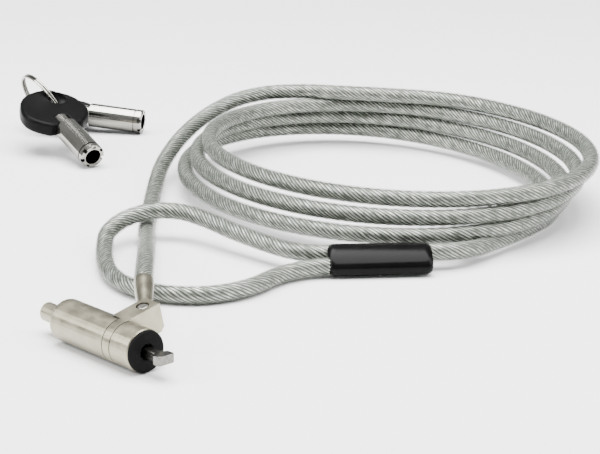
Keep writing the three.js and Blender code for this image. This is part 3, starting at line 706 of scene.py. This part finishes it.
def round_shading():
    """Geometry nodes that shade shallow edges smooth and keep sharp ones sharp."""
    tree = bpy.data.node_groups.new("round shading", "GeometryNodeTree")
    tree.interface.new_socket("Geometry", in_out="INPUT", socket_type="NodeSocketGeometry")
    tree.interface.new_socket("Geometry", in_out="OUTPUT", socket_type="NodeSocketGeometry")
    nodes = Nodes(tree)
    given = nodes.add("NodeGroupInput")
    result = nodes.add("NodeGroupOutput")
    faces = nodes.add("GeometryNodeSetShadeSmooth", {"domain": "FACE"})
    edges = nodes.add("GeometryNodeSetShadeSmooth", {"domain": "EDGE"})
    angle = nodes.add("GeometryNodeInputMeshEdgeAngle")
    sharp = nodes.add("FunctionNodeCompare", {"data_type": "FLOAT", "operation": "GREATER_THAN"})
    nodes.feed(sharp, 0, angle.outputs["Unsigned Angle"])
    nodes.feed(sharp, 1, SHARP_ANGLE)
    nodes.feed(faces, "Geometry", given.outputs[0])
    nodes.feed(faces, "Shade Smooth", True)
    nodes.feed(edges, "Geometry", faces.outputs[0])
    nodes.feed(edges, "Selection", sharp.outputs[0])
    nodes.feed(edges, "Shade Smooth", False)
    nodes.feed(result, 0, edges.outputs[0])
    return tree


ROUND_SHADING = round_shading()
SLOTS = {part["node"]: part["material_slot"] for part in frame["record"]["subparts"]}
OWN_FINISH = {"lug_rivet": RIVET_STEEL}
SOFTENED = {  # mesh size in millimetres, and passes
    "tbar": (0.15, 26),
    "lug_rivet": (0.1, 10),
    "back_key_bow": (0.4, 6),
    "front_key_bow": (0.4, 6),
}


def give_finish(name, node):
    finish = OWN_FINISH.get(name, FINISHES[SLOTS[name]])
    for place in node.material_slots:
        place.material = finish
    if not node.material_slots:
        node.data.materials.append(finish)


def soften(node, size, passes):
    """Rounds a node's edges over, by smoothing an even mesh of it."""
    even = node.modifiers.new("even mesh", "REMESH")
    even.mode = "VOXEL"
    even.voxel_size = size * MM
    even.use_smooth_shade = True
    soft = node.modifiers.new("softened edges", "SMOOTH")
    soft.factor = 0.5
    soft.iterations = passes


for name, node in frame["nodes"].items():
    give_finish(name, node)
    if name in SOFTENED:
        soften(node, *SOFTENED[name])
    shading = node.modifiers.new("round shading", "NODES")
    shading.node_group = ROUND_SHADING

# ------------------------------------------------------------------ floor and light


FLOOR_REACH = 6.0
FLOOR_COLOR = (0.96, 0.96, 0.96, 1)
SKY_COLOR = (0.96, 0.98, 1.0, 1)
SKY_STRENGTH = 0.34
MIDDLE_OF_SET = (-90, 100, 0)
LIGHTS = [  # name, place in millimetres from the nose, size in metres, watts
    ("overhead", (-90, 100, 900), (1.1, 0.8), 40),
    ("left", (-500, -600, 500), (0.5, 0.5), 9),
    ("right", (500, 500, 450), (0.4, 0.7), 7),
]


def add_floor():
    reach = FLOOR_REACH
    corners = [(-reach, -reach, 0), (reach, -reach, 0), (reach, reach, 0), (-reach, reach, 0)]
    material = bpy.data.materials.new("pale floor")
    material.use_nodes = True
    shader = material.node_tree.nodes["Principled BSDF"]
    shader.inputs["Base Color"].default_value = FLOOR_COLOR
    shader.inputs["Roughness"].default_value = 0.6
    floor = add_mesh("floor", [Vector(c) for c in corners], [(0, 1, 2, 3)], material, smooth=False)


def add_light(name, place, size, power):
    data = bpy.data.lights.new(name, "AREA")
    data.shape = "RECTANGLE"
    data.size, data.size_y = size
    data.energy = power
    light = bpy.data.objects.new(name, data)
    light.location = from_nose(*place)
    light.rotation_euler = (from_nose(*MIDDLE_OF_SET) - light.location).to_track_quat("-Z", "Y").to_euler()
    bpy.context.collection.objects.link(light)


def add_sky():
    world = bpy.data.worlds.new("studio")
    world.use_nodes = True
    background = world.node_tree.nodes["Background"]
    background.inputs["Color"].default_value = SKY_COLOR
    background.inputs["Strength"].default_value = SKY_STRENGTH
    bpy.context.scene.world = world


add_floor()
add_sky()
for light in LIGHTS:
    add_light(*light)
